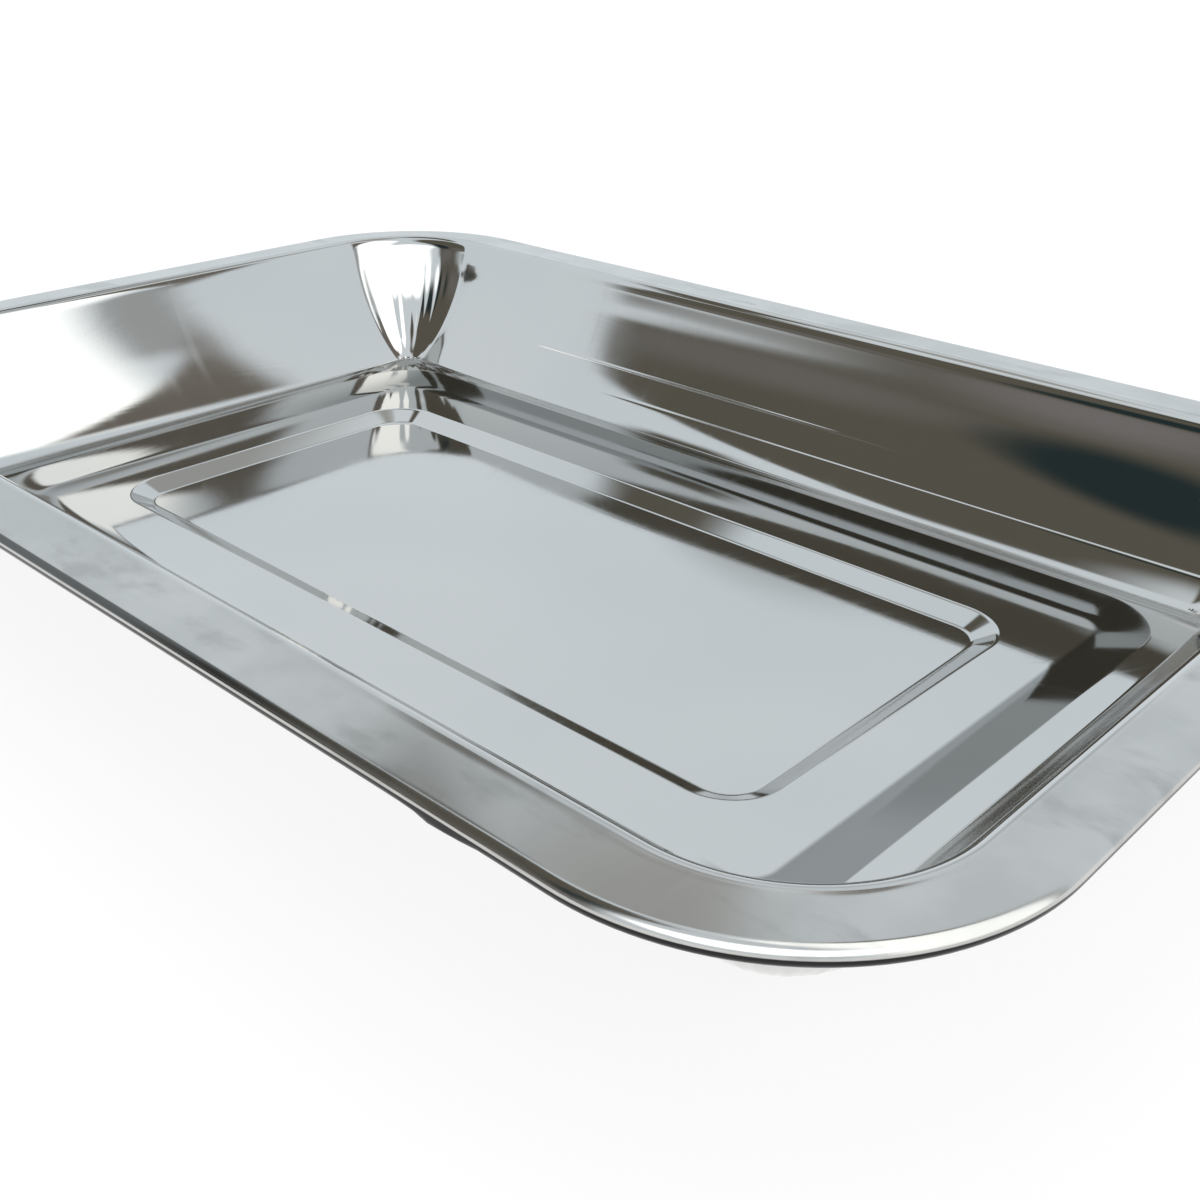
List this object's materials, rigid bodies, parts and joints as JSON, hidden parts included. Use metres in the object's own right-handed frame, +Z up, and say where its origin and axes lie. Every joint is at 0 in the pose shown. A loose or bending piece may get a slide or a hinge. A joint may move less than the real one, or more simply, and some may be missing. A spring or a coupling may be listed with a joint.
{
  "type": "developing tray",
  "caption": "Shallow rectangular steel tray for developing prints, with rounded corners, a flat rim with a rolled and wired edge, and a sunken panel in its floor.",
  "frame": {"origin": "centre of the underside of the sunken floor panel, which the tray stands on", "axes": "+Z up out of the tray, +X along the long side, +Y along the short side"},
  "size_m": [0.4, 0.27, 0.0465],
  "materials": {
    "polished_steel": "bright polished stainless steel sheet, with fine draw marks and light scuffs",
    "wire_steel": "plain drawn steel wire, closed in by the rolled edge"
  },
  "bodies": {
    "root": {"tray_shell": "polished_steel", "rim_wire": "wire_steel"}
  },
  "joints": []
}
